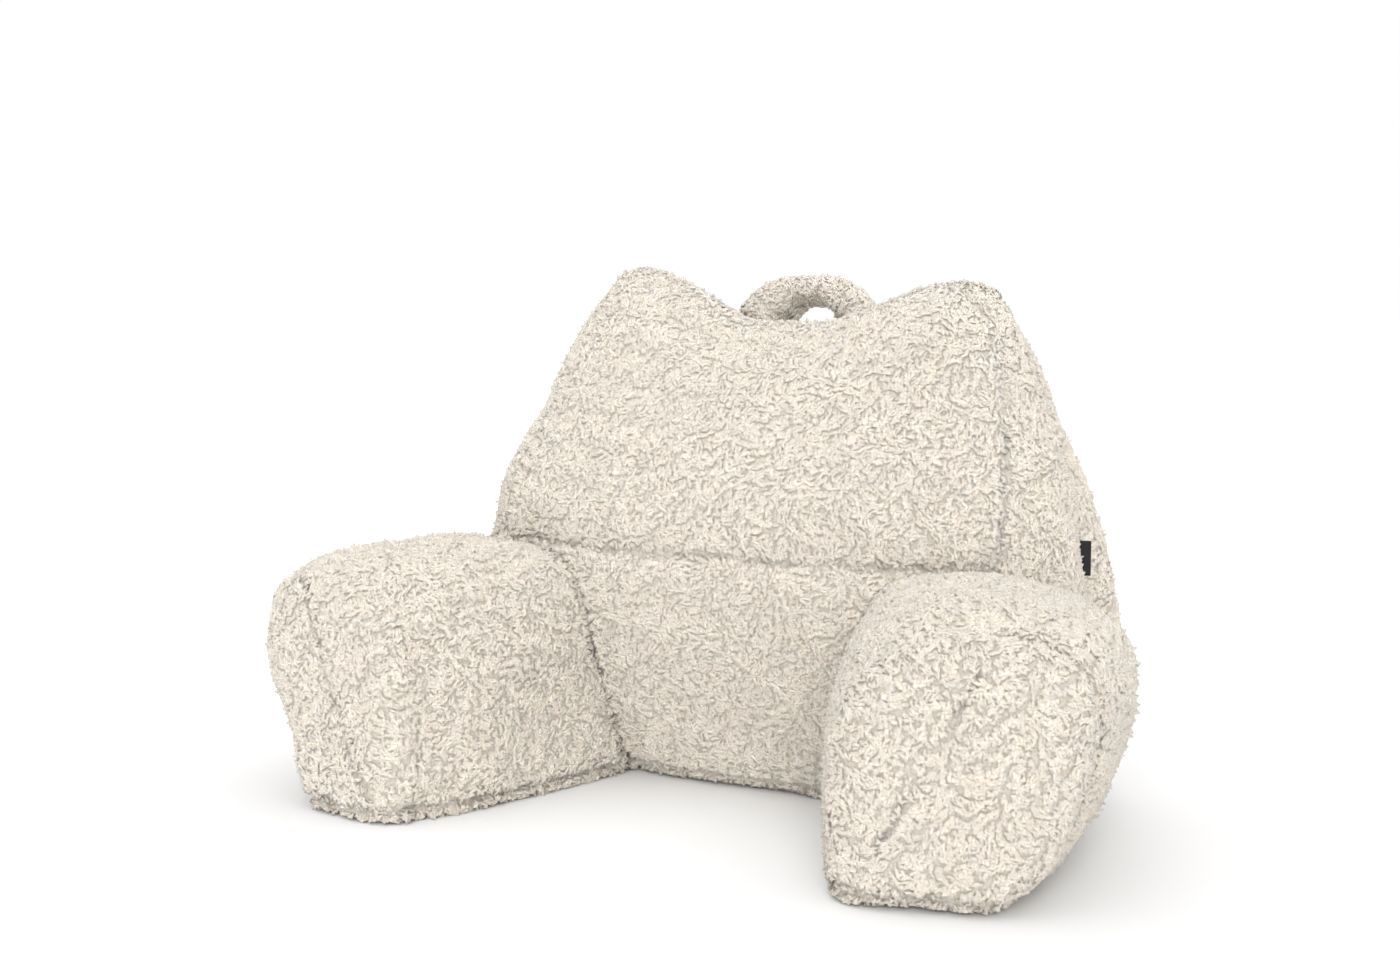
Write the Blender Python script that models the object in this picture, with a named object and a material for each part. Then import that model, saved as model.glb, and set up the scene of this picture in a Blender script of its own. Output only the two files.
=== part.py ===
"""Reading pillow with arms: a wedge back with two peaked corners, two stuffed arms, a handle and a side tab.

Metres, +Z up. The pillow stands on its base at z = 0 with its origin under the middle of its box. The reader
leans on it from -Y, so +X is on the right of someone who faces it. Surfaces stand where the pile's tips do.
"""

import math

import bmesh
import bpy
import numpy as np

# --- Driving dimensions -------------------------------------------------------------------------------------
MIDDLE_DEPTH = 0.0214        # y of the middle of the box, in the tables' own y, which is taken off at the end
GAP = 0.0004                 # left round the back where an arm, the handle or the tab meets it

BASE_ROUND = 0.008           # height of the rounding under the sides of the back
BASE_INSET = 0.007           # how far the flat of the base lies inside those sides
FRONT_SEAM = 0.224           # height of the seam across the front, level with the arms
FRONT_SEAM_DEPTH = 0.005
FRONT_SEAM_HALF = 0.010
NOSE_START = 0.392           # where the front and rear panels begin to round over into the top seam
TOP_MIDDLE = 0.432           # height of the top seam at its middle, the dip between the corners
RIDGE_Y = 0.182              # place of the top seam
RIDGE_BOW = 0.014            # how far its middle lies in front of its ends
EAR_LEFT = 0.051             # rise of the peaked corners above the dip
EAR_RIGHT = 0.038
EAR_START = 0.038            # distances from the middle where a corner starts, peaks and has halved again
EAR_PEAK = 0.168
EAR_HALF = 0.062
EAR_POWER = 1.5              # how softly a corner starts to rise
EAR_FOOT = 0.330             # height where the corners begin to stretch the panels upward

ACROSS = 30                  # faces across the front and the rear panel
GUSSET = 6                   # faces across each side gusset
FRONT_POWER = 2.4            # roundness of the front panel's crown
REAR_POWER = 3.0             # roundness of the rear panel's crown, which wraps round towards the gussets
FLARE_POWER = 8              # how close to its seams the rear panel swells past them
BASE_TURNS = (0, 30, 60)     # degrees round the foot's rounding where a section stands
NOSE_TURNS = (20, 38, 54, 67, 78, 90)   # and round the nose, up to the top seam
GROOVE_STEPS = (-2.4, -1.2, -0.6, 0, 0.6, 1.2, 2.4)   # sections through the front seam, in half widths
LOWER_SECTIONS = 8           # between the foot's rounding and the front seam
UPPER_SECTIONS = 8           # between the front seam and the nose

HANDLE_HALF = 0.067          # half the distance between the handle's feet
HANDLE_FOOT = 0.405          # height at which its middle line enters the back
HANDLE_TOP = 0.465           # height of its middle line at the top of the arch
HANDLE_Y = 0.1940
HANDLE_THICK = 0.025
HANDLE_WIDTH = 0.048
HANDLE_LEAN = math.radians(24)
HANDLE_SHOULDERS = (0.75, 0.80)   # squareness of the arch, across and upward; 1 is a plain half oval
HANDLE_ROOT = 0.020          # length of each foot that is trimmed to the back
HANDLE_POINTS = 19           # points along the arch

TAB_LEVEL = 0.225            # height of the tab's middle
TAB_HEIGHT = 0.031
TAB_REACH = 0.009            # how far it stands out of the pile
TAB_THICK = 0.0014
TAB_ROOT = 0.020             # how far its strip is made into the back before it is cut to the surface
TAB_ANGLE = math.radians(12)
TAB_ROUNDING = 0.35          # rounding of its free edge, as a share of its thickness

# The back, section by section. Its front corners are the seams between the front and the gussets, its rear
# corners those between the gussets and the rear panel. A crown is how far the middle of a panel stands out
# from the straight line between its seams. The flare is how far the rear panel swells past its seams.
BACK_COLUMNS = ("z", "front_x", "front_y", "seam_x", "seam_y",
                "front_crown", "gusset_crown", "rear_crown", "flare")
BACK_SECTIONS = (
    (0.000, 0.208, 0.082, 0.260, 0.162, 0.022, 0.012, 0.068, 0.020),
    (0.070, 0.228, 0.068, 0.282, 0.160, 0.038, 0.016, 0.076, 0.034),
    (0.150, 0.244, 0.050, 0.296, 0.156, 0.046, 0.022, 0.080, 0.043),
    (0.224, 0.252, 0.046, 0.292, 0.154, 0.042, 0.024, 0.082, 0.037),
    (0.290, 0.248, 0.070, 0.276, 0.158, 0.050, 0.020, 0.076, 0.026),
    (0.340, 0.238, 0.100, 0.258, 0.164, 0.050, 0.016, 0.064, 0.017),
    (0.392, 0.222, 0.134, 0.234, 0.174, 0.040, 0.010, 0.044, 0.008),
    (0.432, 0.194, 0.170, 0.195, 0.184, 0.020, 0.002, 0.020, 0.000),
)

# An arm on the +X side, section by section from its root inside the back to the seam of its end panel. Each
# section is an upright oval drawn between an inner and an outer point. Shares run from the inner point to the
# outer one: where its flat base starts and ends, and where its crest is. Bulges are at shares of its height.
ARM_COLUMNS = ("inner_x", "inner_y", "outer_x", "outer_y", "height", "crest",
               "base_start", "base_end", "inner_bulge", "outer_bulge")
ARM_SECTIONS = (
    (0.060, 0.135, 0.262, 0.206, 0.170, 0.44, 0.05, 0.80, 0.40, 0.56),
    (0.092, 0.100, 0.312, 0.170, 0.196, 0.40, 0.05, 0.74, 0.42, 0.58),
    (0.116, 0.056, 0.344, 0.110, 0.216, 0.34, 0.05, 0.70, 0.46, 0.60),
    (0.132, 0.005, 0.368, 0.050, 0.224, 0.38, 0.05, 0.66, 0.44, 0.62),
    (0.148, -0.055, 0.386, -0.018, 0.226, 0.50, 0.05, 0.64, 0.38, 0.64),
    (0.168, -0.114, 0.394, -0.078, 0.223, 0.57, 0.04, 0.63, 0.36, 0.66),
    (0.192, -0.168, 0.390, -0.122, 0.209, 0.60, 0.03, 0.64, 0.36, 0.68),
)
ARM_RINGS = 17               # rings along an arm
ARM_QUARTER = 8              # faces round each quarter of a ring
ARM_POWERS = (3.6, 2.7)      # fullness of the inner quarters, from the foot up to the crest
# What the filling does to each arm: fullness of the outer quarters above and below the bulge, how much higher
# the bulge lies, how wide the flat of the base is, and how far the end panel's foot lifts as it closes.
ARM_STUFFING = {
    "arm_right": {"shoulder": 2.5, "flank": 1.7, "lift": 0.0, "base": 1.0, "end_foot": 0.40},
    "arm_left": {"shoulder": 2.7, "flank": 1.3, "lift": 0.09, "base": 0.81, "end_foot": 0.12},
}
END_REACH = 0.036            # how far the end panel swells past its seam
END_RINGS = 6                # rings over the end panel
END_LAST_TURN = math.radians(82)    # where its swell stops at a small flat
END_ROUNDNESS = (0.55, 0.85)        # squareness of the swell, across and forward; 1 is a plain quarter oval
END_MIDDLE = 0.30            # height of the middle of the end panel, as a share of the arm's height there
END_SEAM_PINCH = 0.965       # how far the seam of the end panel draws the arm in
END_SAG = 0.50               # how much further the filling pushes the end panel out at its foot

MERGE = 0.00005              # points closer than this are one point
PILE_CREAM = "#E6E0D3"
TAPE_BLACK = "#17171A"


def clear_scene():
    """Remove every object."""
    for thing in list(bpy.data.objects):
        bpy.data.objects.remove(thing, do_unlink=True)


def new_collection(name):
    """A collection in the scene."""
    group = bpy.data.collections.new(name)
    bpy.context.scene.collection.children.link(group)
    return group


def linear(hex_colour):
    """An sRGB hex colour as linear RGBA."""
    parts = [int(hex_colour[i:i + 2], 16) / 255 for i in (1, 3, 5)]
    return [p / 12.92 if p <= 0.04045 else ((p + 0.055) / 1.055) ** 2.4 for p in parts] + [1.0]


def cloth(name, colour, roughness):
    """A plain cloth material."""
    material = bpy.data.materials.new(name)
    material.use_nodes = True
    shader = material.node_tree.nodes["Principled BSDF"]
    shader.inputs["Base Color"].default_value = linear(colour)
    shader.inputs["Roughness"].default_value = roughness
    shader.inputs["Metallic"].default_value = 0.0
    return material


def read(rows, names, at):
    """Every column of a table, read smoothly at the place `at`, which counts rows from 0."""
    values = np.array(rows)
    slopes = np.gradient(values, axis=0)
    low = min(int(at), len(values) - 2)
    s = at - low
    row = (values[low] * (2 * s ** 3 - 3 * s ** 2 + 1) + slopes[low] * (s ** 3 - 2 * s ** 2 + s)
           + values[low + 1] * (3 * s ** 2 - 2 * s ** 3) + slopes[low + 1] * (s ** 3 - s ** 2))
    return dict(zip(names, row))


def row_place(height):
    """The place in the back's table where its z is this height."""
    low, high = 0.0, len(BACK_SECTIONS) - 1.0
    while high - low > MERGE:
        middle = (low + high) / 2
        if read(BACK_SECTIONS, BACK_COLUMNS, middle)["z"] < height:
            low = middle
        else:
            high = middle
    return (low + high) / 2


def loft(rings, close_start, close_end):
    """A closed mesh through rings of equal counts, with a flat face at an end that isn't welded shut."""
    mesh = bmesh.new()
    rows = [[mesh.verts.new(point) for point in ring] for ring in rings]
    count = len(rows[0])
    for lower, upper in zip(rows, rows[1:]):
        for i in range(count):
            j = (i + 1) % count
            mesh.faces.new((lower[i], lower[j], upper[j], upper[i]))
    if close_start:
        mesh.faces.new(list(reversed(rows[0])))
    if close_end:
        mesh.faces.new(rows[-1])
    bmesh.ops.remove_doubles(mesh, verts=mesh.verts, dist=MERGE)
    bmesh.ops.triangulate(mesh, faces=mesh.faces)
    bmesh.ops.recalc_face_normals(mesh, faces=mesh.faces)
    return mesh


def place_object(name, mesh, material, collection):
    """An object made from a bmesh."""
    data = bpy.data.meshes.new(name)
    mesh.to_mesh(data)
    mesh.free()
    data.materials.append(material)
    thing = bpy.data.objects.new(name, data)
    collection.objects.link(thing)
    thing.data.shade_smooth()
    return thing


# --- The back -----------------------------------------------------------------------------------------------
def ear_rise(x):
    """How far the top seam stands above its middle at this x."""
    far = abs(x)
    rise = EAR_LEFT if x < 0 else EAR_RIGHT
    if far <= EAR_START:
        return 0.0
    if far <= EAR_PEAK:
        return rise * math.sin(math.pi / 2 * (far - EAR_START) / (EAR_PEAK - EAR_START)) ** EAR_POWER
    return rise * (1 - 0.5 * ((far - EAR_PEAK) / EAR_HALF) ** 2)


def stretch(height):
    """How much of the corners' rise a section at this height has."""
    share = min(max((height - EAR_FOOT) / (TOP_MIDDLE - EAR_FOOT), 0), 1)
    return share * share * (3 - 2 * share)


def back_ring(height, inset=0.0, nose=1.0):
    """One section of the back: front, +X gusset, rear, -X gusset. The nose narrows it to the top seam."""
    row = read(BACK_SECTIONS, BACK_COLUMNS, row_place(height))
    groove = FRONT_SEAM_DEPTH * math.exp(-((height - FRONT_SEAM) / FRONT_SEAM_HALF) ** 2)
    across = [math.sin(math.pi / 2 * (2 * i / ACROSS - 1)) for i in range(ACROSS + 1)]
    front = [(u * row["front_x"],
              row["front_y"] - row["front_crown"] * (1 - abs(u) ** FRONT_POWER) + groove) for u in across]
    rear = [(u * (row["seam_x"] + row["flare"] * math.sin(math.pi * abs(u) ** FLARE_POWER)),
             row["seam_y"] + row["rear_crown"] * (1 - abs(u) ** REAR_POWER) ** (1 / REAR_POWER))
            for u in reversed(across)]
    run = np.array([row["seam_x"] - row["front_x"], row["seam_y"] - row["front_y"]])
    out = np.array([run[1], -run[0]]) / np.linalg.norm(run)
    gusset = []
    for i in range(1, GUSSET):
        share = i / GUSSET
        point = np.array([row["front_x"], row["front_y"]]) + run * share
        gusset.append(tuple(point + out * row["gusset_crown"] * math.sin(math.pi * share)))
    ring = front + gusset + rear + [(-x, y) for x, y in reversed(gusset)]
    middle = (row["front_y"] + row["seam_y"]) / 2
    points = []
    for x, y in ring:
        ridge = RIDGE_Y - RIDGE_BOW * (1 - min(abs(x) / row["front_x"], 1) ** 2)
        y = ridge + (y - ridge) * nose
        away = math.hypot(x, y - middle)
        x, y = x * (1 - inset / away), middle + (y - middle) * (1 - inset / away)
        points.append((x, y - MIDDLE_DEPTH, height + ear_rise(x) * stretch(height)))
    return points


def back_rings():
    """Sections from the flat of the base to the top seam."""
    rings = []
    for angle in map(math.radians, BASE_TURNS):
        rings.append(back_ring(BASE_ROUND * (1 - math.cos(angle)), BASE_INSET * (1 - math.sin(angle))))
    groove = [FRONT_SEAM + FRONT_SEAM_HALF * step for step in GROOVE_STEPS]
    sides = list(np.linspace(BASE_ROUND, groove[0], LOWER_SECTIONS, endpoint=False)) + groove
    sides += list(np.linspace(NOSE_START, groove[-1], UPPER_SECTIONS, endpoint=False))[::-1]
    rings += [back_ring(height) for height in sides]
    for angle in map(math.radians, NOSE_TURNS):
        height = NOSE_START + (TOP_MIDDLE - NOSE_START) * math.sin(angle)
        rings.append(back_ring(height, nose=math.cos(angle)))
    top = rings[-1]
    for i in range(ACROSS + 1):
        top[ACROSS + GUSSET + i] = top[ACROSS - i]
    for i in range(1, GUSSET):
        top[ACROSS + i] = top[ACROSS]
        top[2 * ACROSS + GUSSET + i] = top[0]
    return rings


def make_back(material, collection):
    """The wedge back, one stuffed body."""
    return place_object("back", loft(back_rings(), True, False), material, collection)


def make_cutter(back, collection):
    """The back's own shape, swollen by the gap, which its neighbours are cut with."""
    mesh = bmesh.new()
    mesh.from_mesh(back.data)
    mesh.normal_update()
    for vert in mesh.verts:
        vert.co += vert.normal * GAP
    cutter = place_object("back_cutter", mesh, back.data.materials[0], collection)
    cutter.hide_render = True
    cutter.display_type = "WIRE"
    return cutter


def cut(thing, cutter):
    """Trim an object to the back's surface."""
    trim = thing.modifiers.new("trim_to_back", "BOOLEAN")
    trim.operation = "DIFFERENCE"
    trim.solver = "EXACT"
    trim.object = cutter


# --- The arms -----------------------------------------------------------------------------------------------
def quarter(start, end, power, upright_first):
    """Points of a quarter oval from start towards end, without end. It leaves start upright or level."""
    points = []
    for i in range(ARM_QUARTER):
        angle = math.pi / 2 * i / ARM_QUARTER
        near, far = math.cos(angle) ** (2 / power), math.sin(angle) ** (2 / power)
        if upright_first:
            points.append((end[0] + (start[0] - end[0]) * near, start[1] + (end[1] - start[1]) * far))
        else:
            points.append((start[0] + (end[0] - start[0]) * far, end[1] + (start[1] - end[1]) * near))
    return points


def arm_outline(row, name):
    """The outline of an arm's section as (share across, share of height), up its inner side first."""
    stuffing = ARM_STUFFING[name]
    base_start, base_end = (row["base_start"], 0.0), (row["base_end"] * stuffing["base"], 0.0)
    inner, outer = (0.0, row["inner_bulge"]), (1.0, row["outer_bulge"] + stuffing["lift"])
    crest = (row["crest"], 1.0)
    outline = quarter(base_start, inner, ARM_POWERS[0], False) + quarter(inner, crest, ARM_POWERS[1], True)
    outline += quarter(crest, outer, stuffing["shoulder"], False)
    outline += quarter(outer, base_end, stuffing["flank"], True)
    return outline + [base_end, ((base_start[0] + base_end[0]) / 2, 0.0)]


def arm_ring(row, side, name, shrink=1.0, reach=0.0):
    """One section of an arm in space. The end panel's sections shrink and reach forward."""
    inner = np.array([row["inner_x"], row["inner_y"]])
    span = np.array([row["outer_x"], row["outer_y"]]) - inner
    forward = np.array([span[1], -span[0]]) / np.linalg.norm(span)
    points = []
    for share, rise in arm_outline(row, name):
        upright = shrink if rise > END_MIDDLE else shrink ** ARM_STUFFING[name]["end_foot"]
        share, rise = 0.5 + (share - 0.5) * shrink, END_MIDDLE + (rise - END_MIDDLE) * upright
        x, y = inner + span * share + forward * reach * (1 + END_SAG * (0.5 - rise))
        points.append((side * x, y - MIDDLE_DEPTH, rise * row["height"]))
    return points


def make_arm(name, side, cutter, material, collection):
    """A stuffed arm, trimmed where it is sewn to the back."""
    last = len(ARM_SECTIONS) - 1
    places = np.linspace(0, last, ARM_RINGS)
    rings = [arm_ring(read(ARM_SECTIONS, ARM_COLUMNS, place), side, name) for place in places[:-1]]
    end = read(ARM_SECTIONS, ARM_COLUMNS, last)
    rings.append(arm_ring(end, side, name, END_SEAM_PINCH, 0.0))
    for angle in np.linspace(0, END_LAST_TURN, END_RINGS + 1)[1:]:
        shrink, swell = math.cos(angle) ** END_ROUNDNESS[0], math.sin(angle) ** END_ROUNDNESS[1]
        rings.append(arm_ring(end, side, name, shrink, END_REACH * swell))
    arm = place_object(name, loft(rings, True, True), material, collection)
    cut(arm, cutter)
    return arm


# --- The handle and the tab ---------------------------------------------------------------------------------
def make_handle(cutter, material, collection):
    """A padded strip arched behind the middle of the top seam, with both feet sewn to the rear panel."""
    line = bpy.data.curves.new("carry_handle_line", "CURVE")
    line.dimensions = "3D"
    line.twist_mode = "Z_UP"
    line.fill_mode = "FULL"
    line.bevel_depth = HANDLE_THICK / 2
    line.extrude = (HANDLE_WIDTH - HANDLE_THICK) / 2
    line.bevel_resolution = 3
    line.resolution_u = 1
    line.use_fill_caps = True
    rise = HANDLE_TOP - HANDLE_FOOT
    points = [(-HANDLE_HALF, -HANDLE_ROOT)]
    for angle in np.linspace(math.pi, 0, HANDLE_POINTS):
        along = math.copysign(abs(math.cos(angle)) ** HANDLE_SHOULDERS[0], math.cos(angle))
        points.append((HANDLE_HALF * along, rise * abs(math.sin(angle)) ** HANDLE_SHOULDERS[1]))
    points.append((HANDLE_HALF, -HANDLE_ROOT))
    spline = line.splines.new("POLY")
    spline.points.add(len(points) - 1)
    for slot, (x, z) in zip(spline.points, points):
        slot.co = (x, z, 0, 1)
    guide = bpy.data.objects.new("carry_handle_line", line)
    collection.objects.link(guide)
    guide.location = (0, HANDLE_Y - MIDDLE_DEPTH, HANDLE_FOOT)
    guide.rotation_euler = (math.pi / 2 - HANDLE_LEAN, 0, 0)
    bpy.context.view_layer.update()
    data = bpy.data.meshes.new_from_object(guide.evaluated_get(bpy.context.evaluated_depsgraph_get()))
    mesh = bmesh.new()
    mesh.from_mesh(data)
    mesh.transform(guide.matrix_world)
    bmesh.ops.remove_doubles(mesh, verts=mesh.verts, dist=MERGE)
    bmesh.ops.triangulate(mesh, faces=mesh.faces)
    bmesh.ops.recalc_face_normals(mesh, faces=mesh.faces)
    bpy.data.objects.remove(guide, do_unlink=True)
    handle = place_object("carry_handle", mesh, material, collection)
    cut(handle, cutter)
    return handle


def make_tab(cutter, material, collection):
    """A folded tape caught in the rear seam of the +X gusset, with nothing on its faces."""
    row = read(BACK_SECTIONS, BACK_COLUMNS, row_place(TAB_LEVEL))
    length = TAB_ROOT + TAB_REACH
    mesh = bmesh.new()
    bmesh.ops.create_cube(mesh, size=1.0)
    bmesh.ops.scale(mesh, vec=(length, TAB_THICK, TAB_HEIGHT), verts=mesh.verts)
    bmesh.ops.translate(mesh, vec=(length / 2 - TAB_ROOT, 0, 0), verts=mesh.verts)
    edges = [edge for edge in mesh.edges if abs(edge.verts[0].co.y - edge.verts[1].co.y) < TAB_THICK / 2
             and edge.verts[0].co.x > 0 and edge.verts[1].co.x > 0]
    bmesh.ops.bevel(mesh, geom=edges, offset=TAB_THICK * TAB_ROUNDING, segments=2, affect="EDGES")
    tab = place_object("side_label", mesh, material, collection)
    tab.location = (row["seam_x"], row["seam_y"] - MIDDLE_DEPTH, TAB_LEVEL)
    tab.rotation_euler = (0, 0, TAB_ANGLE)
    cut(tab, cutter)
    return tab


def main():
    clear_scene()
    pillow = new_collection("reading_pillow")
    cutters = new_collection("cutters")
    pile = cloth("curly_pile_fabric", PILE_CREAM, 0.95)
    tape = cloth("woven_tape", TAPE_BLACK, 0.7)
    back = make_back(pile, pillow)
    cutter = make_cutter(back, cutters)
    make_arm("arm_right", 1, cutter, pile, pillow)
    make_arm("arm_left", -1, cutter, pile, pillow)
    make_handle(cutter, pile, pillow)
    make_tab(cutter, tape, pillow)


main()
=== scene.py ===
"""The finish of a reading pillow with arms: stuffed cloth, curly pile, a carry handle and a side label.

Run it as a script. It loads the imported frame, makes each piece around it and sets up a plain studio.
"""

import math

import bmesh
import bpy
import numpy as np
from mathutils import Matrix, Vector
from mathutils.bvhtree import BVHTree
from mathutils.kdtree import KDTree


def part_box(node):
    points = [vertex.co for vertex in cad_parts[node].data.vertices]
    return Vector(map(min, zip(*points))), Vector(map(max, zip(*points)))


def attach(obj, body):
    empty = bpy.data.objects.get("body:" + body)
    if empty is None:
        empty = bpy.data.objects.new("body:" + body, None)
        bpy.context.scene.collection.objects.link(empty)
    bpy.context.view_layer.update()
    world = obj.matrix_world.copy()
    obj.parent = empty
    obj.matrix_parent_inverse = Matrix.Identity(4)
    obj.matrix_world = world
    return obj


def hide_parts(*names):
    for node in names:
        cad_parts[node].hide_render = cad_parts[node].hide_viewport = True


bl_info = {
    "name": "Reading Pillow With Arms",
    "version": (1, 0, 0),
    "blender": (4, 5, 0),
    "location": "View3D > Sidebar > Pillow",
    "description": "Makes the stuffed bodies, curly pile, handle and label of a reading pillow",
    "category": "Object",
}

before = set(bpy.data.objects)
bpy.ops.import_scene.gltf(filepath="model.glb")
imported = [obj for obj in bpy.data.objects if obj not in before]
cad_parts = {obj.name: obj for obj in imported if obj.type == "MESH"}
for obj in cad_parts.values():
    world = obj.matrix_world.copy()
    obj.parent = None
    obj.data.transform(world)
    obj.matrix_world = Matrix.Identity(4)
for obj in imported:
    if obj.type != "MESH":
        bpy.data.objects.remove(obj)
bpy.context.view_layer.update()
MM = 0.001
WAVE_SCALE = 0.314           # a wave texture of this scale repeats once in a metre

# --- The pillow's own sizes, in metres, and shares ---------------------------------------------------------
# The stuffed cloth
FLOOR_CLEAR = 0.0004         # nothing reaches lower than this
VOXEL = 0.007                # evenness of the cloth's mesh
WELD = 0.00005
INSET = 0.0014               # how far the cloth lies inside the surface that its pile's tips reach
PUFF_FRAMES = 20
PUFF_QUALITY = 4
PUFF_PRESSURE = 4.0
CLOTH_WEIGHT = 0.3           # of each point, in kilograms, then how stiff the cloth is when pulled and bent
CLOTH_PULL = 12
CLOTH_BEND = 1.5
PINNED = 0.006               # cloth this near to a seam is held while the filling swells
BACK_SWELL = 0.0030          # how far the filling may push the back's cloth out, and an arm's
ARM_SWELL = 0.0015
LUMP_HEIGHT = 0.0016         # uneven filling under the cloth
LUMP_SIZE = 0.075

# How the seams draw the cloth and its pile in
SEAM_VALLEY = 0.0038         # how deep
SEAM_REACH = 0.0023          # how far to its sides
PUCKER_SIZE = 0.025          # how far apart a seam is deep and shallow, and how deep as shares of that
PUCKER_MEAN = 0.75
PUCKER_SWING = 0.4
PUCKER_RANGE = (0.25, 1.2)
CLOTH_DEEPER = 0.001         # how much further the cloth is drawn in than its pile's roots
END_DEEPER = 0.0020          # how much deeper the seams of an arm are
SEAM_BARE = 0.0010           # how far the pile parts to each side of an arm's end seam
SEAM_LOW = 0.004             # this near to a seam the pile stands lower and has painted shade, by these shares at it
SEAM_SHORT = 0.5
SEAM_SHADE = 0.6
BASE_SEAM = 0.013            # height of the seam round the base

# Where pile grows
SCATTER_TRIES = 4.5          # places tried for roots in each square as wide as their spacing
UNDERSIDE = 0.8              # a face counts as level where its normal's z is more than this
UNDERSIDE_SPACING = 1.7      # spacing on the level underside, as a share of that elsewhere
BODY_CLEAR = 0.0003          # the back has no tuft whose tip would be this near to an arm's surface
HIDDEN_REACH = 1.3           # an arm has no pile nearer to the back than this many pile depths, where the
HIDDEN_FACING = -0.6         # two face each other: the product of their normals is under this
CREASE_PILE = 0.7            # how much deeper the pile stands where two bodies meet, and how far from there
CREASE_REACH = 0.010
FLOOR_PILE = 1.0             # how much deeper it stands where it fills the rounding under the sides

# Tufts of fibre and the curls that they gather into
SHOULDERS = 0.5              # where a tuft is fullest, as a share of its length
ROOT_SUNK = 0.001            # how far its root is sunk into the cloth
TUFT_TILT = 0.3              # how far its flat side tilts into the way it lies
STRANDS = 3                  # strands of fibre drawn along it
DEPTH_RANGE = (0.85, 1.15)   # least and most height of a tuft and of a curl, as shares of the pile's
SIZE_RANGE = (0.8, 1.2)      # and of a tuft's length and width
LOOSE_SHARE = 0.05           # tufts that are thin and stand up out of the rest
LOOSE_DEPTH = 1.7            # their height and their width, as shares of the others'
LOOSE_WIDTH = 0.35
CURL_SPREAD = 0.5            # how far a curl strays from the way the pile lies, and a tuft from its curl
STRAY_SPREAD = 0.13
CURL_BEND = (0.2, 0.75)      # least and most sideways bend of a curl, as shares of its length
CURL_GATHER = 0.1            # how far its tufts lean towards its middle, and how much lower its edge stands
CURL_CROWN = 0.3
CURL_EDGE = 0.6              # how far its edge is from its middle, as a share of the distance between curls
SOFTNESS = 0.6               # how far the pile takes light as its cloth would, and not as single tufts
NAP_PLACES = (-0.2, 0.2)     # at these x of the front, the way its pile lies, in degrees from +X up to +Z
NAP_TURNS = (190, 255)
REAR_NAP = (0.2, 0.0, -1.0)  # the way it lies on the gussets and the rear, on the arms and on the handle
ARM_NAP = (0.0, -0.4, -1.0)
HANDLE_NAP = (1.0, 0.0, 0.1)

# Seams between the front, the gussets and the rear panel, at heights on the +X side. The -X side is mirrored.
# Columns: z, then x and y of the front edge, then x and y of the rear edge.
GUSSET_SEAMS = (
    (0.006, 0.208, 0.060, 0.260, 0.141),
    (0.070, 0.228, 0.047, 0.282, 0.139),
    (0.150, 0.244, 0.029, 0.296, 0.135),
    (0.224, 0.252, 0.025, 0.292, 0.133),
    (0.290, 0.248, 0.049, 0.276, 0.137),
    (0.340, 0.238, 0.079, 0.258, 0.143),
    (0.392, 0.222, 0.113, 0.234, 0.153),
    (0.432, 0.194, 0.149, 0.195, 0.163),
)
CORNER_RISE = {-1: 0.0465, 1: 0.0347}    # how far each top corner stretches the panels up
CORNER_FOOT = 0.330
CORNER_TOP = 0.432
RIDGE_MIDDLE = 0.1466        # y of the top seam at its middle, and how far its ends lie behind that
RIDGE_BOW = 0.014
FRONT_SEAM = 0.224
FRONT_SEAM_POINTS = 170
TOP_SEAM_POINTS = 130
IN_FRONT = -0.3              # y and z of places clear of the back, from where its surface is looked for
ABOVE = 0.6

# The seam round each arm's end panel: up its inner edge, over the peak and down its outer edge.
END_SEAMS = {
    "arm_right": (
        (0.222, -0.180, 0.010), (0.256, -0.169, 0.075), (0.290, -0.158, 0.140), (0.322, -0.146, 0.199),
        (0.356, -0.134, 0.180), (0.383, -0.125, 0.135), (0.362, -0.132, 0.096), (0.324, -0.145, 0.049),
        (0.290, -0.157, 0.010),
    ),
    "arm_left": (
        (-0.225, -0.200, 0.010), (-0.259, -0.200, 0.075), (-0.298, -0.190, 0.140), (-0.333, -0.165, 0.196),
        (-0.366, -0.140, 0.180), (-0.388, -0.125, 0.135), (-0.362, -0.132, 0.096), (-0.324, -0.145, 0.049),
        (-0.290, -0.157, 0.010),
    ),
}

HANDLE_VOXEL = 0.003
HANDLE_INSET = 0.0038        # the handle's cloth lies this far inside the frame's, before its legs fill out
LEG_START = 0.008            # from this far off the handle's middle its legs fill out, fully at the end
LEG_END = 0.038
LEG_FILL = 0.0135
FRONT_FILL = 0.0075

LABEL_FLAT = (0.031, 0.030)  # the label's tape before it was folded in two: its height and its run
LABEL_THICK = 0.0004
LABEL_GAP = 0.00045          # from the middle of the fold to each layer
LABEL_PART = 0.3             # how much more its layers part half way along, as a share of that
LABEL_SWAYS = ((0.0004, 150), (0.0003, 330))   # how far it waves to the side, and radians for each metre up
LABEL_TURN = 12              # degrees from +X towards +Y
LABEL_TUCK = 0.0025          # how far its fold lies inside the frame's label
LABEL_ROWS = 14              # points up it, along each of its layers and round its fold
LABEL_STEPS = 13
FOLD_STEPS = 7
LABEL_CLEAR = 0.0040         # no tuft stands nearer to it

AIR_LIGHT = 0.44             # light from all round, against the white behind the pillow at 1
# Soft lamps: name, turn to the +X side and rise in degrees, spread in degrees, strength.
SUNS = (
    ("front_softbox", 26, 25, 30, 1.36),
    ("top_softbox", 0, 90, 90, 1.52),
)
LAMP_DISTANCE = 3
FLOOR_SIZE = 60
CAMERA_PLACE = (0.778, -1.4664, 0.461)
CAMERA_AIM = (-0.008, -0.0254, 0.294)
CAMERA_LENS = 47.957         # in millimetres, on a sensor 36 mm wide


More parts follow.
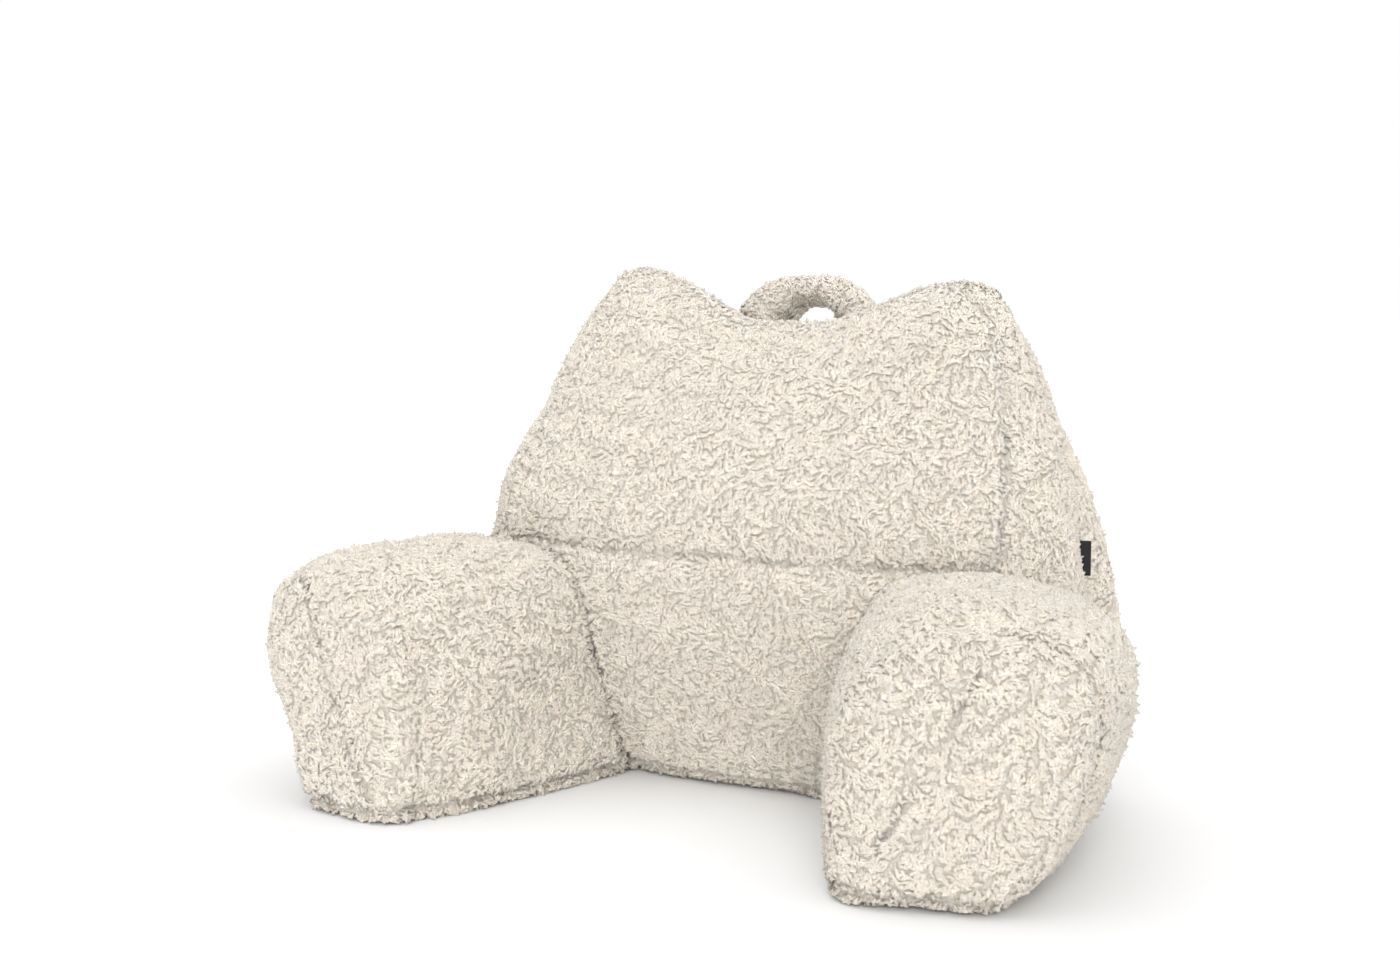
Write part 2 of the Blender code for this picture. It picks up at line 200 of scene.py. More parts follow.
def linear(hex_colour):
    """An sRGB hex colour as linear RGBA."""
    parts = [int(hex_colour[i:i + 2], 16) / 255 for i in (1, 3, 5)]
    return [p / 12.92 if p <= 0.04045 else ((p + 0.055) / 1.055) ** 2.4 for p in parts] + [1.0]


# --- Settings that a user would change ---------------------------------------------------------------------
class PillowPile(bpy.types.PropertyGroup):
    """Sizes of the curly pile."""

    depth: bpy.props.FloatProperty(
        name="Depth", description="Height of the pile over the cloth", default=0.0036, min=0.002,
        unit="LENGTH")
    length: bpy.props.FloatProperty(
        name="Tuft Length", description="How far a tuft runs along the cloth", default=0.0054, min=0.002,
        unit="LENGTH")
    width: bpy.props.FloatProperty(
        name="Tuft Width", description="Width of a tuft at its fullest", default=0.0032, min=0.0005,
        unit="LENGTH")
    spacing: bpy.props.FloatProperty(
        name="Tuft Spacing", description="Least distance between two roots", default=0.00175, min=0.001,
        unit="LENGTH")
    lock: bpy.props.FloatProperty(
        name="Lock Size", description="Distance between the curls that tufts gather into", default=0.0036,
        min=0.002, unit="LENGTH")


class PillowColours(bpy.types.PropertyGroup):
    """Colours of the finishes."""

    tip: bpy.props.StringProperty(
        name="Pile Tips", description="sRGB hex of the tufts' tips", default="#E8E5DF")
    body: bpy.props.StringProperty(
        name="Pile", description="sRGB hex of the tufts", default="#E1DCD3")
    # The roots' colour is painted shade down between the tufts.
    root: bpy.props.StringProperty(
        name="Pile Roots", description="sRGB hex of the roots, and between the tufts", default="#A88F6C")
    # The backing's darker, warmer colour is painted shade between the tufts.
    backing: bpy.props.StringProperty(
        name="Knitted Backing", description="sRGB hex of the cloth under the pile", default="#D2C5B0")
    tape: bpy.props.StringProperty(
        name="Label Tape", description="sRGB hex of the label", default="#19181B")
    floor: bpy.props.StringProperty(
        name="Floor", description="sRGB hex of the floor", default="#FFFFFF")


# --- Small tools -------------------------------------------------------------------------------------------
def positions(mesh):
    """A mesh's points as an array."""
    points = np.empty(len(mesh.vertices) * 3)
    mesh.vertices.foreach_get("co", points)
    return points.reshape(-1, 3)


def normals_of(mesh):
    """A mesh's point normals as an array."""
    normals = np.empty(len(mesh.vertices) * 3, np.float32)
    mesh.vertex_normals.foreach_get("vector", normals)
    return normals.reshape(-1, 3).astype(float)


def move_points(mesh, points):
    """Give a mesh new places for its points."""
    mesh.vertices.foreach_set("co", points.ravel())
    mesh.update()


def unit(vectors):
    """Vectors at length one."""
    return vectors / np.maximum(np.linalg.norm(vectors, axis=-1, keepdims=True), 1e-12)


def add_piece(name, mesh, material):
    """An object in the scene with this mesh and material."""
    mesh.materials.clear()
    mesh.materials.append(material)
    piece = bpy.data.objects.new(name, mesh)
    bpy.context.scene.collection.objects.link(piece)
    return piece


def ripple(points, size, seed, waves=9):
    """Smooth noise over space between about -1 and 1, with ups and downs of about this size."""
    rng = np.random.default_rng(seed)
    total = np.zeros(len(points))
    for _ in range(waves):
        direction = unit(rng.normal(size=3))
        pace = 2 * math.pi / (size * rng.uniform(0.7, 1.6))
        total += np.sin(points @ direction * pace + rng.uniform(0, 2 * math.pi))
    return total / math.sqrt(waves / 2) / 1.4


def smooth(points, edges, rounds, strength):
    """Points each moved towards the mean of their neighbours."""
    count = np.bincount(edges.ravel(), minlength=len(points))[:, None]
    for _ in range(rounds):
        total = np.zeros_like(points)
        for axis in range(3):
            total[:, axis] += np.bincount(edges[:, 0], points[edges[:, 1], axis], len(points))
            total[:, axis] += np.bincount(edges[:, 1], points[edges[:, 0], axis], len(points))
        points = points + (total / count - points) * strength
    return points


def edges_of(mesh):
    """A mesh's edges as an array of pairs."""
    edges = np.empty(len(mesh.edges) * 2, np.int32)
    mesh.edges.foreach_get("vertices", edges)
    return edges.reshape(-1, 2)


def triangles_of(mesh):
    """A mesh's triangles as an array."""
    mesh.calc_loop_triangles()
    triangles = np.empty(len(mesh.loop_triangles) * 3, np.int32)
    mesh.loop_triangles.foreach_get("vertices", triangles)
    return triangles.reshape(-1, 3)


def surface(name):
    """A search tree over a frame node's surface."""
    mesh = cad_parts[name].data
    return BVHTree.FromPolygons([v.co for v in mesh.vertices], [p.vertices for p in mesh.polygons])


def nearest(tree, points):
    """For each point, its distance to a surface and the surface's normal there."""
    found = [tree.find_nearest(point) for point in points]
    return np.array([hit[3] for hit in found]), np.array([hit[1] for hit in found])


# --- Seams and panels --------------------------------------------------------------------------------------
def between(stops, step=0.003):
    """Points along a line of stops, a step apart."""
    stops = np.array(stops, float)
    lengths = np.linalg.norm(np.diff(stops, axis=0), axis=1)
    run = np.concatenate([[0], np.cumsum(lengths)])
    places = np.linspace(0, run[-1], max(int(run[-1] / step), 2))
    return np.stack([np.interp(places, run, stops[:, axis]) for axis in range(3)], 1)


def stretched(height, side):
    """A height on the plain back as it lies on a side whose top corner rises."""
    share = np.clip((height - CORNER_FOOT) / (CORNER_TOP - CORNER_FOOT), 0, 1)
    return height + CORNER_RISE[side] * share * share * (3 - 2 * share)


def back_seams():
    """The back's seams that show as creases: both edges of each gusset and the one across the front."""
    table = np.array(GUSSET_SEAMS)
    lines = []
    for side in (-1, 1):
        height = stretched(table[:, 0], side)
        lines.append(between(np.stack([side * table[:, 1], table[:, 2], height], 1)))
        lines.append(between(np.stack([side * table[:, 3], table[:, 4], height], 1)))
    tree = surface("back")
    half = table[:, 1].max()
    for x in np.linspace(-half, half, FRONT_SEAM_POINTS):
        lines.append(np.array([tree.ray_cast(Vector((x, IN_FRONT, FRONT_SEAM)), Vector((0, 1, 0)))[0]]))
    return np.concatenate(lines)


def top_seam():
    """The seam along the top of the back, which the pile hides."""
    tree = surface("back")
    half = GUSSET_SEAMS[-1][1]
    across = np.linspace(-half, half, TOP_SEAM_POINTS)
    places = [(x, RIDGE_MIDDLE + RIDGE_BOW * (x / half) ** 2, ABOVE) for x in across]
    return np.array([tree.ray_cast(Vector(place), Vector((0, 0, -1)))[0] for place in places])


def arm_seams(name):
    """The seam round an arm's end panel, as points on its surface."""
    tree = surface(name)
    return np.array([tree.find_nearest(point)[0] for point in between(END_SEAMS[name])])


def seam_finder(points):
    """A search tree over seam points."""
    tree = KDTree(len(points))
    for index, point in enumerate(points):
        tree.insert(point, index)
    tree.balance()
    return tree


def seam_distance(tree, points, normals):
    """Each point's distance to the nearest seam, the seam round the base among them."""
    distance = np.array([tree.find(point)[2] for point in points])
    upright = np.abs(normals[:, 2]) < UNDERSIDE
    return np.where(upright, np.minimum(distance, np.abs(points[:, 2] - BASE_SEAM)), distance)


def back_panels(points):
    """Which panel of the back each point is on: 0 front, 1 gusset, 2 rear."""
    table = np.array(GUSSET_SEAMS)
    height = np.where(points[:, 0] < 0, -1, 1)
    plain = np.empty(len(points))
    for side in (-1, 1):
        on = height == side
        plain[on] = np.interp(points[on, 2], stretched(table[:, 0], side), table[:, 0])
    front_x, front_y, rear_x, rear_y = (np.interp(plain, table[:, 0], table[:, k]) for k in (1, 2, 3, 4))
    middle = (front_y + rear_y) / 2
    turn = np.arctan2(np.abs(points[:, 0]), middle - points[:, 1])
    past_front = turn > np.arctan2(front_x, middle - front_y)
    past_gusset = turn > np.arctan2(rear_x, middle - rear_y)
    return past_front.astype(int) + past_gusset


# --- The stuffed cloth under the pile ----------------------------------------------------------------------
def stuffed_copy(node, name, voxel, inset, material):
    """A smooth, evenly meshed copy of a frame node, lying inside its surface by the inset."""
    source = bmesh.new()
    source.from_mesh(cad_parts[node].data)
    bmesh.ops.remove_doubles(source, verts=source.verts, dist=WELD)
    mesh = bpy.data.meshes.new(name)
    source.to_mesh(mesh)
    source.free()
    piece = add_piece(name, mesh, material)
    remesh = piece.modifiers.new("even_mesh", "REMESH")
    remesh.mode = "VOXEL"
    remesh.voxel_size = voxel
    apply_modifiers(piece)
    mesh = piece.data
    edges = edges_of(mesh)
    points = smooth(positions(mesh), edges, rounds=3, strength=0.5)
    tree = surface(node)
    for _ in range(2):
        move_points(mesh, points)
        outer = np.array([tree.find_nearest(point)[0] for point in points])
        points = smooth(outer - normals_of(mesh) * inset, edges, rounds=1, strength=0.3)
    move_points(mesh, points)
    return piece


def apply_modifiers(piece):
    """Turn a piece's evaluated shape into its own mesh."""
    graph = bpy.context.evaluated_depsgraph_get()
    made = bpy.data.meshes.new_from_object(piece.evaluated_get(graph))
    old = piece.data
    piece.modifiers.clear()
    piece.data = made
    bpy.data.meshes.remove(old)


def puff(piece, seams, most):
    """Fill a piece: its cloth swells between its seams, which hold it, and moves no further than `most`."""
    start = positions(piece.data)
    held = np.clip(1 - (seam_distance(seams, start, normals_of(piece.data)) - INSET) / PINNED, 0, 1)
    group = piece.vertex_groups.new(name="seams")
    for index, weight in enumerate(held):
        if weight > 0:
            group.add([index], float(weight), "REPLACE")
    cloth = piece.modifiers.new("filling", "CLOTH")
    cloth.settings.quality = PUFF_QUALITY
    cloth.settings.mass = CLOTH_WEIGHT
    cloth.settings.tension_stiffness = CLOTH_PULL
    cloth.settings.compression_stiffness = CLOTH_PULL
    cloth.settings.bending_stiffness = CLOTH_BEND
    cloth.settings.use_pressure = True
    cloth.settings.uniform_pressure_force = PUFF_PRESSURE
    cloth.settings.vertex_group_mass = "seams"
    cloth.settings.effector_weights.gravity = 0
    scene = bpy.context.scene
    for number in range(1, PUFF_FRAMES + 1):
        scene.frame_set(number)
    apply_modifiers(piece)
    scene.frame_set(1)
    push = positions(piece.data) - start
    length = np.linalg.norm(push, axis=1, keepdims=True)
    move_points(piece.data, start + push * np.minimum(1, most / np.maximum(length, 1e-9)))
    piece.vertex_groups.clear()


def lump(piece, seed):
    """Leave the filling a little uneven."""
    mesh = piece.data
    points = positions(mesh)
    points = points + normals_of(mesh) * (LUMP_HEIGHT * ripple(points, LUMP_SIZE, seed))[:, None]
    points[:, 2] = np.maximum(points[:, 2], FLOOR_CLEAR)
    move_points(mesh, points)
    mesh.shade_smooth()


def valley(seams, points, normals, extra):
    """How far the nearest seam draws each point in."""
    distance = np.maximum(seam_distance(seams, points, normals) - INSET, 0)
    uneven = np.clip(PUCKER_MEAN + PUCKER_SWING * ripple(points, PUCKER_SIZE, seed=5), *PUCKER_RANGE)
    return (SEAM_VALLEY + extra) * uneven * np.exp(-(distance / SEAM_REACH) ** 2)


def draw_in(piece, seams, deeper):
    """Draw a piece's cloth in at its seams, further than a plain seam does and than its pile's roots."""
    mesh = piece.data
    points, normals = positions(mesh), normals_of(mesh)
    points = points - normals * valley(seams, points, normals, deeper + CLOTH_DEEPER)[:, None]
    points[:, 2] = np.maximum(points[:, 2], FLOOR_CLEAR)
    move_points(mesh, points)


# --- The pile ----------------------------------------------------------------------------------------------
def scatter(points, normals, faces, spacing, rng, closeness=None):
    """Roots spread over a mesh, none nearer to another than the spacing. Returns their places and normals."""
    corner = points[faces]
    area = np.linalg.norm(np.cross(corner[:, 1] - corner[:, 0], corner[:, 2] - corner[:, 0]), axis=1) / 2
    count = int(SCATTER_TRIES * area.sum() / spacing ** 2)
    chosen = rng.choice(len(faces), count, p=area / area.sum())
    first, second = rng.random(count), rng.random(count)
    fold = first + second > 1
    first[fold], second[fold] = 1 - first[fold], 1 - second[fold]
    share = np.stack([1 - first - second, first, second], 1)[:, :, None]
    places = (corner[chosen] * share).sum(1)
    leans = unit((normals[faces[chosen]] * share).sum(1))
    radius = np.full(count, spacing) if closeness is None else spacing * closeness(places, leans)
    tree = seam_finder(places)
    taken = np.zeros(count, bool)
    kept = []
    for index in range(count):
        if taken[index] or not np.isfinite(radius[index]):
            continue
        kept.append(index)
        for _, other, _ in tree.find_range(places[index], radius[index]):
            taken[other] = True
    return places[kept], leans[kept]


def thin_out(points, spacing):
    """Indices of points that lie no nearer together than the spacing."""
    tree = seam_finder(points)
    taken = np.zeros(len(points), bool)
    kept = []
    for index, point in enumerate(points):
        if not taken[index]:
            kept.append(index)
            for _, other, _ in tree.find_range(point, spacing):
                taken[other] = True
    return np.array(kept)


def make_tufts(name, roots, normals, lay, pull, sizes, tone_and_seam_shade, material):
    """A mesh of bent tufts of fibre, each a closed body of a root, two shoulders and a tip.

    Each runs along `lay` from its root, drawn aside by `pull`. `sizes` are depth, length, width and curl.
    """
    count = len(roots)
    depth, length, width, curl = sizes
    side = np.cross(normals, lay)

    def centre(place):
        """The middle of each tuft at a share of its length: steep at its root, then bending over and down."""
        ahead = (0.3 * place + 0.7 * place ** 1.6) * length
        lift = np.sin(math.pi * 0.8 * place ** 0.85) * depth - ROOT_SUNK
        bend = curl * length * place ** 2
        return (roots + lay * ahead[:, None] + normals * lift[:, None] + side * bend[:, None]
                + pull * place ** 1.5)

    points = np.empty((count, 4, 3))
    points[:, 0], points[:, 3] = centre(0.0), centre(1.0)
    along = unit(points[:, 3] - points[:, 0])
    flat = unit(np.cross(normals + lay * TUFT_TILT, along)) * (width / 2)[:, None]
    points[:, 1], points[:, 2] = centre(SHOULDERS) - flat, centre(SHOULDERS) + flat
    pattern = np.array(((0, 1, 2), (3, 2, 1), (0, 3, 1), (0, 2, 3)))
    each = points.shape[1]
    faces = (pattern[None] + np.arange(count)[:, None, None] * each).reshape(-1, 3)
    points = points.reshape(-1, 3)
    points[:, 2] = np.maximum(points[:, 2], FLOOR_CLEAR)
    mesh = bpy.data.meshes.new(name)
    mesh.vertices.add(len(points))
    mesh.vertices.foreach_set("co", points.astype(np.float32).ravel())
    mesh.loops.add(len(faces) * 3)
    mesh.loops.foreach_set("vertex_index", faces.astype(np.int32).ravel())
    mesh.polygons.add(len(faces))
    mesh.polygons.foreach_set("loop_start", np.arange(0, len(faces) * 3, 3, dtype=np.int32))
    mesh.update(calc_edges=True)
    # Each tuft has a small cell of its own in a map made for baking the finish, root down and tip up.
    cells = math.ceil(math.sqrt(count))
    cell = np.stack([np.arange(count) % cells, np.arange(count) // cells], 1)
    places = np.array(((0.45, 0.06), (0.06, SHOULDERS), (0.94, SHOULDERS), (0.55, 0.94)))
    bake_map = ((cell[:, None] + places) / cells).reshape(-1, 2)
    bake_layer = mesh.uv_layers.new(name="OFBake")
    bake_layer.uv.foreach_set("vector", bake_map[faces.ravel()].astype(np.float32).ravel())
    give(mesh, "lock_rise", np.tile((0.0, SHOULDERS, SHOULDERS, 1.0), count))
    give(mesh, "lock_tone_and_seam_shade", np.repeat(tone_and_seam_shade, each))
    give(mesh, "lock_side", np.tile((0.0, -1.0, 1.0, 0.0), count))
    mesh.shade_smooth()
    soft = unit(normals_of(mesh) * (1 - SOFTNESS) + np.repeat(normals, each, axis=0) * SOFTNESS)
    mesh.normals_split_custom_set_from_vertices(soft.tolist())
    return add_piece(name, mesh, material)


def give(mesh, name, values):
    """Store a number on each point of a mesh."""
    attribute = mesh.attributes.new(name, "FLOAT", "POINT")
    attribute.data.foreach_set("value", values.astype(np.float32))


# --- Materials ---------------------------------------------------------------------------------------------
def add_node(tree, kind, settings=None, **inputs):
    """Add a node with its settings. An input is a value, or a socket that it is linked to."""
    node = tree.nodes.new(kind)
    for name, value in (settings or {}).items():
        setattr(node, name, value)
    for name, value in inputs.items():
        key = int(name[1:]) if name[1:].isdigit() else name.replace("_", " ")
        if isinstance(value, bpy.types.NodeSocket):
            tree.links.new(value, node.inputs[key])
        else:
            node.inputs[key].default_value = value
    return node


def new_material(name):
    """An empty node material with an output. Returns it and its node tree."""
    material = bpy.data.materials.new(name)
    material.use_nodes = True
    material.node_tree.nodes.clear()
    return material, material.node_tree


def brushed_sherpa_pile(name, colours):
    """Polyester sherpa pile, knitted, brushed out and tumbled into curls: matt and soft at grazing angles.
    Its colour holds painted shade: paler at the tips, and warmer and darker down between the locks."""
    material, tree = new_material(name)
    rise = add_node(tree, "ShaderNodeAttribute", {"attribute_name": "lock_rise"}).outputs["Fac"]
    tone_and_seam_shade = add_node(tree, "ShaderNodeAttribute", {"attribute_name": "lock_tone_and_seam_shade"}).outputs["Fac"]
    # Painted shade: from tip to root the colour turns darker and warmer, as shade falls down between the
    # tufts.
    ramp = add_node(tree, "ShaderNodeValToRGB", Fac=rise)
    stops = ramp.color_ramp.elements
    stops[0].position, stops[0].color = 0.0, linear(colours.root)
    stops[1].position, stops[1].color = 1.0, linear(colours.tip)
    middle = stops.new(0.2)
    middle.color = linear(colours.body)
    place = add_node(tree, "ShaderNodeTexCoord").outputs["Object"]
    patch = add_node(tree, "ShaderNodeTexNoise", Vector=place, Scale=1 / (45 * MM), Detail=2.0).outputs["Fac"]
    # Strands run from root to tip, closing together at both ends. Painted shade makes it darker between them
    # and darkest down the sides of a tuft, where the next one lies over it.
    side = add_node(tree, "ShaderNodeAttribute", {"attribute_name": "lock_side"}).outputs["Fac"]
    centred = add_node(tree, "ShaderNodeMath", {"operation": "MULTIPLY_ADD"}, _0=rise, _1=2.0, _2=-1.0)
    from_middle = add_node(tree, "ShaderNodeMath", {"operation": "ABSOLUTE"}, _0=centred.outputs[0])
    span = add_node(tree, "ShaderNodeMath", {"operation": "SUBTRACT"}, _0=1.05, _1=from_middle.outputs[0])
    across = add_node(tree, "ShaderNodeMath", {"operation": "DIVIDE"}, _0=side, _1=span.outputs[0]).outputs[0]
    turns = add_node(tree, "ShaderNodeMath", {"operation": "MULTIPLY"}, _0=across, _1=STRANDS * math.pi)
    strands = add_node(tree, "ShaderNodeMath", {"operation": "COSINE"}, _0=turns.outputs[0]).outputs[0]
    painted_strand_shade = add_node(tree, "ShaderNodeMapRange", Value=strands, From_Min=0.0, From_Max=-1.0,
                               To_Min=0.0, To_Max=0.4).outputs["Result"]
    off_middle = add_node(tree, "ShaderNodeMath", {"operation": "ABSOLUTE"}, _0=across).outputs[0]
    painted_side_shade = add_node(tree, "ShaderNodeMapRange", Value=off_middle, From_Min=0.76, From_Max=1.0,
                         To_Min=0.0, To_Max=0.8).outputs["Result"]
    shadow = add_node(tree, "ShaderNodeMath", {"operation": "MAXIMUM"}, _0=painted_strand_shade, _1=painted_side_shade)
    painted_shade_mix = add_node(tree, "ShaderNodeMix", {"data_type": "RGBA"})
    tree.links.new(shadow.outputs[0], painted_shade_mix.inputs["Factor"])
    tree.links.new(ramp.outputs["Color"], painted_shade_mix.inputs[6])
    painted_shade_mix.inputs[7].default_value = linear(colours.root)
    lightness = add_node(tree, "ShaderNodeMapRange", Value=tone_and_seam_shade, To_Min=0.92, To_Max=1.04).outputs["Result"]
    drift = add_node(tree, "ShaderNodeMapRange", Value=patch, To_Min=0.97, To_Max=1.03).outputs["Result"]
    both = add_node(tree, "ShaderNodeMath", {"operation": "MULTIPLY"}, _0=lightness, _1=drift).outputs[0]
    relief = add_node(tree, "ShaderNodeBump", Height=strands, Strength=0.4, Distance=0.4 * MM).outputs[0]
    colour = add_node(tree, "ShaderNodeVectorMath", {"operation": "SCALE"}, _0=painted_shade_mix.outputs[2],
                      Scale=both)
    shader = add_node(tree, "ShaderNodeBsdfPrincipled", Base_Color=colour.outputs[0], Roughness=0.92,
                      Sheen_Weight=0.25, Sheen_Roughness=0.5, IOR=1.45, Subsurface_Weight=0.7,
                      Subsurface_Scale=5 * MM, Normal=relief)
    shader.subsurface_method = "BURLEY"
    shader.inputs["Subsurface Radius"].default_value = (1.0, 0.85, 0.7)
    shader.inputs["Specular IOR Level"].default_value = 0.15
    add_node(tree, "ShaderNodeOutputMaterial", Surface=shader.outputs[0])
    return material


def knitted_backing(name, colours):
    """The pile's knitted backing: matt, and showing only between the tufts, where its colour, darker and
    warmer than theirs, is painted shade.
    """
    material, tree = new_material(name)
    place = add_node(tree, "ShaderNodeTexCoord").outputs["Object"]
    loops = add_node(tree, "ShaderNodeTexVoronoi", Vector=place, Scale=1 / (1.6 * MM)).outputs["Distance"]
    colour = add_node(tree, "ShaderNodeValToRGB", Fac=loops)
    stops = colour.color_ramp.elements
    # Painted shade: the backing is darker and warmer than the tufts over it.
    stops[0].color, stops[1].color = linear(colours.backing), linear(colours.body)
    bump = add_node(tree, "ShaderNodeBump", Height=loops, Strength=0.5, Distance=0.5 * MM)
    shader = add_node(tree, "ShaderNodeBsdfPrincipled", Base_Color=colour.outputs[0], Roughness=0.95,
                      IOR=1.45, Normal=bump.outputs[0])
    add_node(tree, "ShaderNodeOutputMaterial", Surface=shader.outputs[0])
    return material


def woven_tape(name, colours):
    """Woven polyester label tape: near black with a satin face and fine ribs across it."""
    material, tree = new_material(name)
    place = add_node(tree, "ShaderNodeTexCoord").outputs["Object"]
    ribs = add_node(tree, "ShaderNodeTexWave", {"bands_direction": "Z"}, Vector=place,
                    Scale=WAVE_SCALE / (0.5 * MM), Distortion=0.6, Detail=1.0).outputs["Fac"]
    worn = add_node(tree, "ShaderNodeTexNoise", Vector=place, Scale=1 / (3 * MM)).outputs["Fac"]
    rough = add_node(tree, "ShaderNodeMapRange", Value=worn, To_Min=0.5, To_Max=0.68).outputs["Result"]
    lightness = add_node(tree, "ShaderNodeMapRange", Value=ribs, To_Min=0.8, To_Max=1.25).outputs["Result"]
    colour = add_node(tree, "ShaderNodeVectorMath", {"operation": "SCALE"}, _0=linear(colours.tape)[:3],
                      Scale=lightness)
    bump = add_node(tree, "ShaderNodeBump", Height=ribs, Strength=0.5, Distance=0.1 * MM)
    shader = add_node(tree, "ShaderNodeBsdfPrincipled", Base_Color=colour.outputs[0], Roughness=rough,
                      IOR=1.45, Sheen_Weight=0.1, Normal=bump.outputs[0])
    add_node(tree, "ShaderNodeOutputMaterial", Surface=shader.outputs[0])
    return material


def painted_floor(name, colours):
    """A matt painted studio floor: pale and plain, with a faint unevenness."""
    material, tree = new_material(name)
    place = add_node(tree, "ShaderNodeTexCoord").outputs["Object"]
    cloud = add_node(tree, "ShaderNodeTexNoise", Vector=place, Scale=1 / (400 * MM)).outputs["Fac"]
    rough = add_node(tree, "ShaderNodeMapRange", Value=cloud, To_Min=0.85, To_Max=0.95).outputs["Result"]
    shader = add_node(tree, "ShaderNodeBsdfPrincipled", Base_Color=linear(colours.floor), Roughness=rough)
    add_node(tree, "ShaderNodeOutputMaterial", Surface=shader.outputs[0])
    return material


def studio_air():
    """White air: plain behind the pillow, and a dimmer light on it that leaves the lamps the most to do."""
    world = bpy.data.worlds.new("studio_air")
    world.use_nodes = True
    tree = world.node_tree
    tree.nodes.clear()
    seen = add_node(tree, "ShaderNodeLightPath").outputs["Is Camera Ray"]
    strength = add_node(tree, "ShaderNodeMapRange", Value=seen, To_Min=AIR_LIGHT, To_Max=1.0)
    air = add_node(tree, "ShaderNodeBackground", Color=(1, 1, 1, 1), Strength=strength.outputs["Result"])
    add_node(tree, "ShaderNodeOutputWorld", Surface=air.outputs[0])
    return world


def materials(context):
    """The pile and its backing, made once."""
    colours = context.scene.pillow_colours
    made = bpy.data.materials
    pile = made.get("brushed_sherpa_pile") or brushed_sherpa_pile("brushed_sherpa_pile", colours)
    backing = made.get("knitted_backing") or knitted_backing("knitted_backing", colours)
    return pile, backing


# --- Operators ---------------------------------------------------------------------------------------------
def nap(points, normals, base, swirl, size, seed, rng):
    """The way the pile lies at each point: a base direction turned by smooth swirls and at random."""
    angle = swirl * ripple(points, size, seed) + rng.normal(0, CURL_SPREAD, len(points))
    flat = unit(base - normals * (base * normals).sum(1, keepdims=True))
    other = np.cross(normals, flat)
    return flat * np.cos(angle)[:, None] + other * np.sin(angle)[:, None]


def cover(name, piece, settings, keep, base, swirl, size, seed, material, split=None, seams=None, beside=(),
          deeper=0.0):
    """Cover a stuffed piece with pile, deeper in the creases beside its neighbours.

    `keep` spaces the roots or drops them. `base` is the way the pile lies, turned by up to about `swirl`
    radians in swirls of this size. `split` names the piece of pile that each root goes to.
    """
    rng = np.random.default_rng(seed)
    mesh = piece.data
    points, normals = positions(mesh), normals_of(mesh)
    roots, leans = scatter(points, normals, triangles_of(mesh), settings.spacing, rng, keep)
    heart = thin_out(roots, settings.lock)
    finder = seam_finder(roots[heart])
    lock = np.array([finder.find(root)[1] for root in roots])
    way = nap(roots[heart], leans[heart], base(roots[heart]), swirl, size, seed + 1, rng)[lock]
    way = unit(way - leans * (way * leans).sum(1, keepdims=True))
    other = np.cross(leans, way)
    stray = rng.normal(0, STRAY_SPREAD, len(roots))[:, None]
    lay = way * np.cos(stray) + other * np.sin(stray)
    aside = ((roots[heart][lock] - roots) * other).sum(1, keepdims=True)
    pull = other * aside * CURL_GATHER
    crown = 1 - CURL_CROWN * np.clip(np.abs(aside[:, 0]) / (settings.lock * CURL_EDGE), 0, 1) ** 2
    near = np.ones(len(roots))
    if seams:
        near = np.clip(seam_distance(seams, roots, leans) / SEAM_LOW, 0, 1)
        roots = roots - leans * valley(seams, roots, leans, deeper)[:, None]
        draw_in(piece, seams, deeper)
    depth = settings.depth * (1 - SEAM_SHORT * (1 - near)) * crown * rng.uniform(*DEPTH_RANGE, len(roots))
    depth *= rng.uniform(*DEPTH_RANGE, len(heart))[lock]
    depth *= 1 + FLOOR_PILE * np.clip(1 - roots[:, 2] / BASE_SEAM, 0, 1) * (leans[:, 2] > -UNDERSIDE)
    for tree in beside:
        depth *= 1 + CREASE_PILE * np.clip(1 - nearest(tree, roots)[0] / CREASE_REACH, 0, 1)
    length = settings.length * rng.uniform(*SIZE_RANGE, len(roots))
    width = settings.width * rng.uniform(*SIZE_RANGE, len(roots))
    loose = rng.random(len(roots)) < LOOSE_SHARE
    depth[loose] *= LOOSE_DEPTH
    width[loose] *= LOOSE_WIDTH
    curl = (rng.choice((-1, 1), len(heart)) * rng.uniform(*CURL_BEND, len(heart)))[lock]
    # Tone differs at random between tufts and curls; near a seam it is lowered as painted shade.
    tone_and_seam_shade = (rng.random(len(roots)) + rng.random(len(heart))[lock]) / 2 * (1 - SEAM_SHADE * (1 - near))
    groups = np.full(len(roots), "") if split is None else split(roots)
    for group in np.unique(groups):
        on = groups == group
        pile = make_tufts(f"{name}{group}_pile", roots[on], leans[on], lay[on], pull[on],
                          (depth[on], length[on], width[on], curl[on]), tone_and_seam_shade[on], material)
        pile.parent = piece


